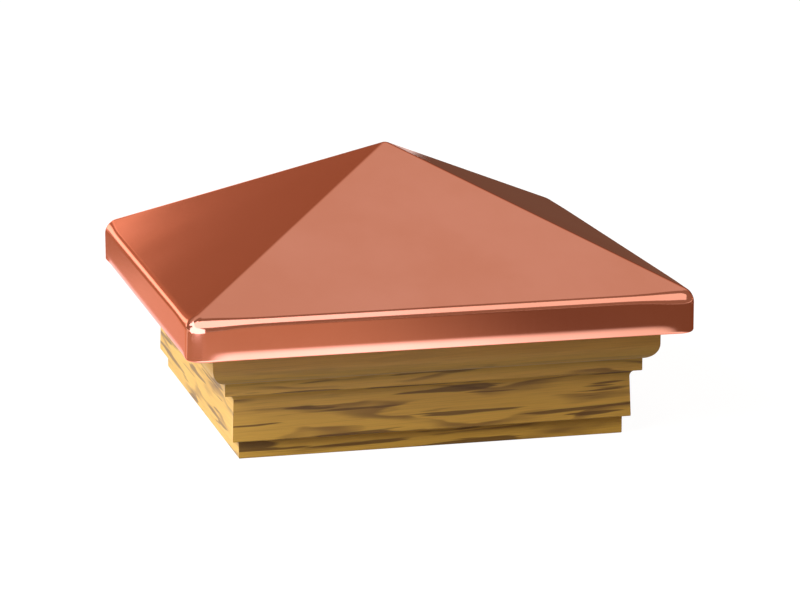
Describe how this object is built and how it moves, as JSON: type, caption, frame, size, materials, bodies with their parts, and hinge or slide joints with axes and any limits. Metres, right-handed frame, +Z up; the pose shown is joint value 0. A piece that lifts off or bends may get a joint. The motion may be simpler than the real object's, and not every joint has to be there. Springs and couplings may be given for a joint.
{
  "type": "post cap",
  "caption": "Square post cap: a pressed copper pyramid with a skirt over a frame of mitred timber mouldings, open below to take the end of a square post.",
  "frame": {"origin": "centre of the frame's foot, on the plane of the mouldings' lower faces", "axes": "+Z up along the post, -Y the front face, +X the right face seen from the front"},
  "size_m": [0.1468, 0.1468, 0.0784],
  "materials": {
    "copper": "bare copper sheet, satin with a fine rolled grain, no patina",
    "pine": "planed treated pine, yellow-brown with dark latewood figure, no varnish",
    "plywood": "plain exterior plywood, unsealed",
    "brad_steel": "bright galvanised wire"
  },
  "bodies": {
    "root": {"copper_cover": "copper", "top_panel": "plywood", "front_moulding": "pine", "right_moulding": "pine", "back_moulding": "pine", "left_moulding": "pine", "panel_brads": "brad_steel"}
  },
  "joints": []
}
